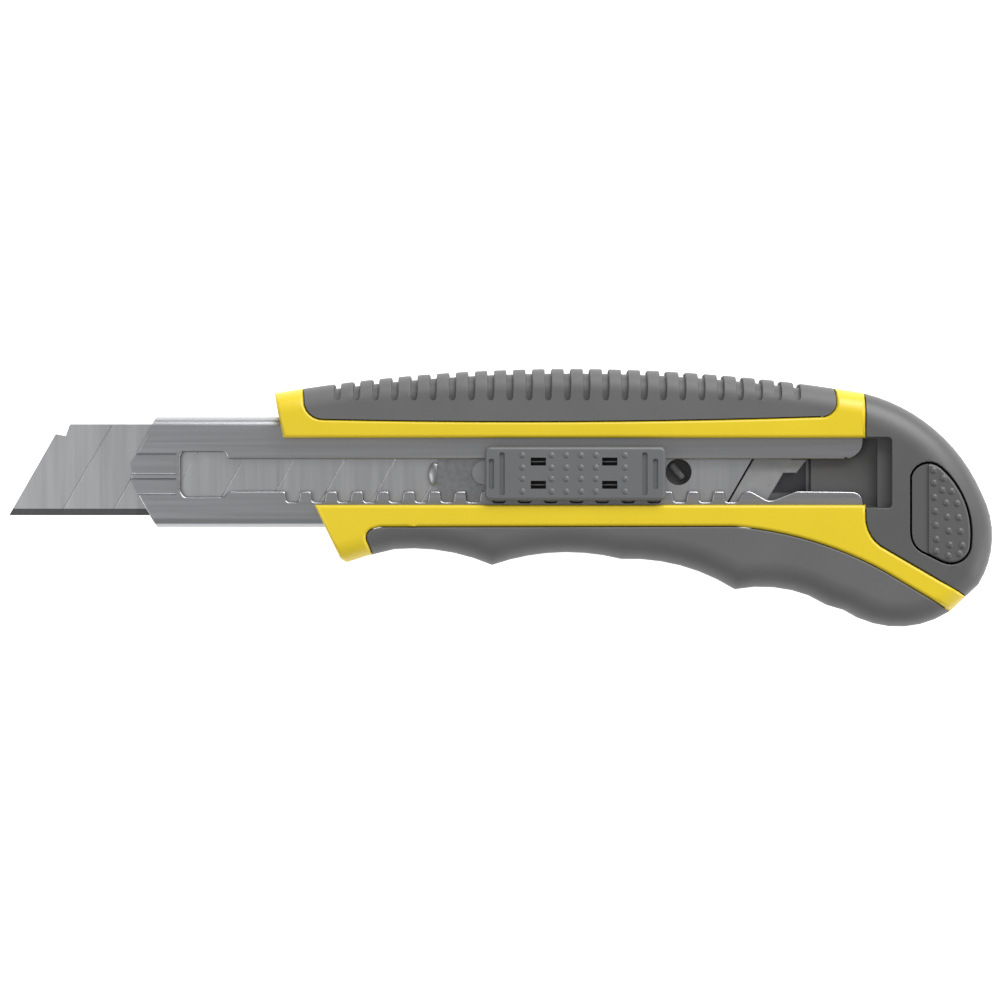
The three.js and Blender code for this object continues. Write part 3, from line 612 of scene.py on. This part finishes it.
follower_outline = [(follower_low.x, follower_low.y), on_tail(follower_low.y), on_tail(-0.2)]
follower_outline += [(on_tail(-0.2)[0] + 2.6, -0.2), (follower_high.x, slot_top), on_tail(slot_top)]
follower_outline += [(follower_high.x, slot_top + 5.4), (follower_high.x, follower_high.y)]
follower_outline += [(follower_low.x + 5.0, follower_high.y)]
spare_high = corners(spare_names[-1])[1]
stop_level = spare_high.z - 0.3
stop_front = spare_high.x - 10.2 + 0.3
stop_foot = follower_low.y + 0.4
stop_head = 6.0
stop_outline = [(stop_front, stop_foot), on_tail(stop_foot), on_tail(-0.2), (on_tail(-0.2)[0] + 2.6, -0.2)]
stop_outline += [(follower_high.x - 0.1, slot_top), on_tail(slot_top), on_tail(stop_head)]
stop_outline += [(stop_front + (stop_head - stop_foot) * tail_lean, stop_head)]
stop = plate(stop_outline, follower_low.z + 0.55, stop_level)
rib_radius = 0.75
rib_half = 2.0
rib = post(0, 0, rib_radius, -rib_half, rib_half, sides=16)
bmesh.ops.bevel(rib, geom=level_edges(rib, -rib_half, rib_half), offset=0.55, affect="EDGES", segments=4,
                profile=0.5, material=-1)
bmesh.ops.rotate(rib, verts=list(rib.verts), matrix=Matrix.Rotation(math.pi / 2, 3, "X"))
bmesh.ops.rotate(rib, verts=list(rib.verts), matrix=Matrix.Rotation(math.radians(42), 3, "Z"))
bmesh.ops.translate(rib, verts=list(rib.verts),
                    vec=(hole_x + reload_travel - 0.1, 0.2, follower_high.z + 0.5))
stop = soften(stop, 0.3, above=stop_level - 0.1)
follower = plate(follower_outline, follower_low.z, follower_high.z)
follower = less(follower, box(55, 123, -4.5, 4.5, 0, follower_low.z + 0.5))
follower = beside(follower, stop, rib)
follower = placed(follower, "spring_plate", grey_abs)
# The upper faces, the stop's top and most of the rib, take the lighter grey: in part painted sheen and glint.
follower.data.materials.append(glossy_abs_and_painted_sheen)
for face in follower.data.polygons:
    if face.center.z * 1000 > follower_high.z + 0.1:
        face.material_index = 1
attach(follower, "magazine")
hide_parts("magazine_follower")


# ------------------------------------------------------------------ slider
# The working blade hangs on a stamped carrier plate. The carriage above it runs in the slot, its spring drops
# into the lock teeth, and the thumb cover, moulded in grey ABS with rows of grip dots, snaps over the top.

# Matt ABS: a cooler grey than the cap, with flow clouding and the same spark-eroded grain.
slider_clouds = 11.111
slider_abs, tree, shader = new_material("matt_moulded_abs_slider_grey", "#636466", 0.42)
place = node(tree, "ShaderNodeTexCoord").outputs["Object"]
clouds = node(tree, "ShaderNodeTexNoise", {"Vector": place, "Scale": 1000 / slider_clouds, "Detail": 3.0})
tones = {"Factor": clouds.outputs["Fac"], "A": srgb("#58595b"), "B": srgb("#606162")}
tint = node(tree, "ShaderNodeMix", tones, data_type="RGBA")
tree.links.new(tint.outputs["Result"], shader.inputs["Base Color"])
grain = node(tree, "ShaderNodeTexNoise", {"Vector": place, "Scale": 1000 / abs_grain, "Detail": 3.0})
bump = node(tree, "ShaderNodeBump", {"Height": grain.outputs["Fac"], "Strength": 0.2, "Distance": 0.00004})
tree.links.new(bump.outputs["Normal"], shader.inputs["Normal"])

# Stamped mild steel: darker than the channel, clouded by handling marks that fade into finer ones. Its pale
# flecks are partly painted glints, standing in for the specks of light on the rough stamping.
mark_and_glint_size = 1.1111
carrier_steel, tree, shader = new_material("stamped_mild_steel", "#7d7e80", 0.36, 1.0)
place = node(tree, "ShaderNodeTexCoord").outputs["Object"]
marks_and_glints = node(tree, "ShaderNodeTexNoise",
             {"Vector": place, "Scale": 1000 / mark_and_glint_size, "Detail": 6.0, "Roughness": 0.7})
tones = {"Factor": marks_and_glints.outputs["Fac"], "A": srgb("#6f7073"), "B": srgb("#a6a7aa")}
tint = node(tree, "ShaderNodeMix", tones, data_type="RGBA")
tree.links.new(tint.outputs["Result"], shader.inputs["Base Color"])
bump = node(tree, "ShaderNodeBump", {"Height": marks_and_glints.outputs["Fac"], "Strength": 0.35, "Distance": 0.00008})
tree.links.new(bump.outputs["Normal"], shader.inputs["Normal"])


def dots(places, level, radius, proud):
    """Low domes at those places, each the top of a flattened ball sunk into the surface."""
    solid = bmesh.new()
    shown = 0.45
    full_height = proud / shown
    full_radius = radius / math.sqrt(1 - (1 - shown) ** 2)
    for x, y in places:
        made = bmesh.ops.create_uvsphere(solid, u_segments=16, v_segments=10, radius=1.0)["verts"]
        bmesh.ops.scale(solid, verts=made, vec=(full_radius, full_radius, full_height))
        bmesh.ops.translate(solid, verts=made, vec=(x, y, level + proud - full_height))
    bmesh.ops.bisect_plane(solid, geom=whole(solid), dist=0.0001, plane_co=(0, 0, level - 0.1),
                           plane_no=(0, 0, 1), clear_inner=True)
    bmesh.ops.holes_fill(solid, edges=[e for e in solid.edges if e.is_boundary])
    bmesh.ops.recalc_face_normals(solid, faces=list(solid.faces))
    return solid


def plus(base, *tools):
    """The base joined into one solid with the tools."""
    return combine(base, tools, "UNION")


carrier_low, carrier_high = corners("blade_carrier")
front = carrier_low.x
carrier_outline = [(front + 2, carrier_low.y), (carrier_high.x, carrier_low.y),
                   (carrier_high.x, carrier_high.y)]
carrier_outline += [(front + 2, carrier_high.y), (front + 2, 2.0)]
carrier_outline += arc((front + 1.6, 2.0), (front, -0.5), (front + 1.6, -3.0), 10)
carrier_outline += [(front + 1.6, -3.0), (front + 2, -3.0)]
carrier = plate(carrier_outline, carrier_low.z, carrier_high.z)
nose_dome = dots([(front + 1.5, -0.5)], carrier_high.z - 0.05, 1.0, 0.4)
bmesh.ops.scale(nose_dome, verts=list(nose_dome.verts), vec=(1.35, 2.3, 1),
                space=Matrix.Translation((-front - 1.5, 0.5, 0)))
nose_dome = less(nose_dome, box(front + 1.9, front + 9, -9, 9, 0, 30))
carrier = less(carrier, post(hole_x, 0.0, hole_radius + 0.05, carrier_low.z + 0.2, 30))
carrier = less(carrier, post(hole_x, 0.0, hole_radius - 0.9, 0, 30))
weld_places = [(hole_x - 1.0, -1.5), (hole_x - 0.5, -2.1), (hole_x - 0.2, -1.1), (hole_x - 1.6, 0.9)]
carrier = beside(carrier, nose_dome, dots(weld_places, carrier_low.z + 0.2, 0.4, 0.28))
carrier = placed(carrier, "carrier_plate", carrier_steel)
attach(carrier, "slider")
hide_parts("blade_carrier")

carriage_low, carriage_high = corners("slider_carriage")
deck_level = lip_level + 1.4
keel = box(carriage_low.x, carriage_high.x, slot_bottom + 0.35, slot_top - 0.3, lip_level - 0.75, deck_level)
deck = box(carriage_low.x, carriage_high.x, -4.5, 3.8, lip_level + 0.35, deck_level - 0.01)
carriage = plus(keel, deck)
bay = box(83.4, 93.2, -9, 0.8, 0, 30)
carriage = less(carriage, bay)
cover_low, cover_high = corners("thumb_cover")
cover_mid_x = (cover_low.x + cover_high.x) / 2
dot_proud = 0.25
cover_face = cover_high.z - dot_proud
cover_outline = [(cover_low.x, cover_low.y), (cover_high.x, cover_low.y), (cover_high.x, cover_high.y),
                 (cover_low.x, cover_high.y)]
cover = plate(cover_outline, cover_low.z, cover_face, 1.1)
bmesh.ops.bevel(cover, geom=level_edges(cover, cover_face), offset=0.7, affect="EDGES", segments=5,
                profile=0.5,
                material=-1)
hollow = box(cover_low.x + 0.8, cover_high.x - 0.8, cover_low.y + 0.8, cover_high.y - 0.8, 0,
             cover_face - 1.2)
cuts = []
window_columns = (cover_mid_x - 7.25, cover_mid_x + 6.75)
window_rows = (2.0, -2.55)
bar_middle = -0.4
for x in window_columns:
    for y in window_rows:
        cuts.append(box(x - 1.5, x + 1.5, y - 0.78, y + 0.78, 0, 30))
for reach, long in ((1.3, 5.9), (3.4, 8.4)):
    for x in (cover_low.x + reach, cover_high.x - reach - 0.7):
        foot, head = bar_middle - long / 2, bar_middle + long / 2
        bar_outline = [(x - 0.5, foot), (x + 0.5, foot), (x + 0.5, head), (x - 0.5, head)]
        cuts.append(plate(bar_outline, cover_face - 0.45, 30, 0.35))
cover = less(less(cover, *cuts), hollow)
windows = [(x, y) for x in window_columns for y in window_rows]
wells = [box(x - 1.7, x + 1.7, y - 0.9, y + 0.9, lip_level + 0.5, 30) for x, y in windows]
carriage = less(carriage, *wells)
window_ribs = [box(x - 1.8, x + 1.8, y - 0.12, y + 0.12, lip_level + 0.4, cover_face - 0.9) for x,
               y in windows]
carriage = beside(carriage, *window_ribs)
carriage = placed(carriage, "slot_carriage", slider_abs)
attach(carriage, "slider")
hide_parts("slider_carriage")

dot_places = []
for i, x in enumerate((77.4, 80.2, 83.1, 86.0, 88.9, 91.8, 94.65, 97.5)):
    rows = () if i in (1, 6) else (3.25, 0.85, -1.4, -3.85)
    dot_places += [(cover_low.x + x - 70.0, y) for y in rows]
cover_dots = dots(dot_places, cover_face, 0.62, dot_proud * 0.98)
cover = beside(cover, cover_dots)
cover = placed(cover, "slider_cover", slider_abs)
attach(cover, "thumb")
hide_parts("thumb_cover")


# ------------------------------------------------------------------ end cap and its latch
# The end cap is a hollow moulding in grey ABS with a rounded flank and a sunk seat behind the channel. It
# slides off to load spares once the button, moulded with grip dots and set in its own opening, is pressed.
button_x = 153.65
button_gap = 0.42
flank = 6.4
flank_flat = 0.7
seat_level = 12.7
well_level = 10.1

button_outline = [(button_x, -0.7), (button_x, -12.0)]
button_outline += arc((button_x + 0.05, -12.4), (button_x + 0.9, -14.7), (button_x + 2.9, -16.2), 6)
button_outline += [(button_x + 2.9, -16.2), (button_x + 6.1, -17.8)]
button_outline += arc((button_x + 6.4, -17.9), (button_x + 10.6, -17.4), (button_x + 12.2, -13.9), 8)
button_outline += arc((button_x + 12.2, -13.9), (button_x + 10.6, -4.7), (button_x + 6.3, 1.0), 10)
button_outline += arc((button_x + 6.3, 1.0), (button_x + 2.3, 1.75), (button_x, -0.7), 7)

cap = pebble(side_outline, 0, handle_thick / flank_flat, flank)
bmesh.ops.scale(cap, verts=list(cap.verts), vec=(1, 1, flank_flat))
cap = within(cap, upright(cap_area, seam_gap))
seat_outline = [(seam_x - 3, -7.13), (150.1, -7.13), (150.1, 6.79), (seam_x - 3, 6.79)]
cap = less(cap, plate(seat_outline, seat_level, 30, 0.8))
cap = soften(less(cap, plate(button_outline, handle_thick / 2, 30)), 0.22, above=13.0)
cap = less(cap, box(seam_x - 4, 147.5, -6.9, 6.5, well_level, 14.0))
hollow = pebble(side_outline, skin, handle_thick - skin, flank - skin, skin)
hollow = within(hollow, upright(cap_area, seam_gap + skin))
hollow = less(hollow, box(seam_x - 1, 151.6, -8.6, 8.3, -5, 30))
cap = less(cap, hollow)
tongue = box(134.6, seam_x + 1, -channel_half + 1.1, channel_half - 1.1, 5.6, 10.05)
cap = beside(cap, tongue)
cap = placed(cap, "slide_off_cap", grey_abs)
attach(cap, "cap")
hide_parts("end_cap")

button_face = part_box("cap_latch_button")[1].z * 1000 - 0.25
button_step = 0.45
button = plate(button_outline, handle_thick - 2.6, button_face, 0, button_gap)
bmesh.ops.bevel(button, geom=level_edges(button, button_face), offset=0.5, affect="EDGES", segments=4,
                profile=0.5, material=-1)
button = less(button, box(0, button_x + 3.65, -50, 50, button_face - button_step, 30))
bump_places = [(158.2, 0.3), (160.15, -1.25), (158.3, -2.2), (159.95, -3.6), (161.75, -3.8)]
for column, (x, y) in enumerate(((158.4, -5.0), (160.7, -6.1), (162.85, -6.2))):
    bump_places += [(x + 0.14 * i + 0.3 * column * i / 3, y - 2.75 * i) for i in range(4)]
bump_places += [(158.75, -15.6), (161.15, -16.5), (163.3, -16.1)]
bumps = dots(bump_places, button_face, 0.72, 0.3)
button = beside(button, bumps)
button = placed(button, "latch_push_button", grey_abs)
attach(button, "latch")
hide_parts("cap_latch_button")


# ------------------------------------------------------------------ fixings and hidden parts
# Two tubular steel rivets hold the channel to the handle's back. The springs, the pin and the cap's latch arm
# sit inside, and each keeps its plain working shape with its own finish.
plain = {
    "channel_rivet_front": channel_steel, "channel_rivet_rear": channel_steel, "blade_pin": channel_steel,
    # The leaf spring's dark blued steel is partly painted shade for the gap behind the spares.
    "magazine_leaf_spring": spring_steel_and_painted_shade, "lock_spring": spring_steel_and_painted_shade,
    "cap_latch_arm": grey_abs,
}
for name, finish in plain.items():
    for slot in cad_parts[name].material_slots:
        slot.material = finish


# ------------------------------------------------------------------ stage
# A plain white table with soft light from above and from the ribbed side.
floor_solid = bmesh.new()
bmesh.ops.create_grid(floor_solid, x_segments=1, y_segments=1, size=3.0)
floor = as_object(floor_solid, "table")

# White table top: matt, and it glows a little so that it stays white under the knife.
white, tree, shader = new_material("white_table", "#f4f4f4", 0.8)
shader.inputs["Emission Color"].default_value = srgb("#ffffff")
shader.inputs["Emission Strength"].default_value = 0.75
floor.data.materials.append(white)
floor.location.z = -0.0002

scene = bpy.context.scene
scene.view_settings.view_transform = "Standard"
world = bpy.data.worlds.new("studio")
scene.world = world
world.use_nodes = True
world.node_tree.nodes["Background"].inputs["Color"].default_value = (0.45, 0.45, 0.45, 1)
world.node_tree.nodes["Background"].inputs["Strength"].default_value = 1.0


def soft_light(name, watts, place, size, size_y=None):
    """A flat lamp that faces the knife's middle."""
    lamp = bpy.data.lights.new(name, "AREA")
    lamp.size = size
    if size_y:
        lamp.shape = "RECTANGLE"
        lamp.size_y = size_y
    lamp.energy = watts
    holder = bpy.data.objects.new(name, lamp)
    holder.location = place
    holder.rotation_euler = Vector(place).to_track_quat("Z", "Y").to_euler()
    scene.collection.objects.link(holder)


soft_light("key", 12, (0.38, 0.72, 0.55), 0.9, 0.5)
soft_light("side", 1.4, (-0.45, -0.1, 0.6), 0.4)
soft_light("fill", 1.6, (0.75, -0.25, 0.25), 0.4)

camera = bpy.data.cameras.new("camera")
camera.lens = 135
camera.sensor_width = 36
view_centre = nose_tip + Vector((73.07, -5.54, 12)) * 0.001
camera_object = bpy.data.objects.new("camera", camera)
camera_object.location = view_centre + Vector((0, 0, 0.1974 * 135 / 36))
scene.collection.objects.link(camera_object)
scene.camera = camera_object
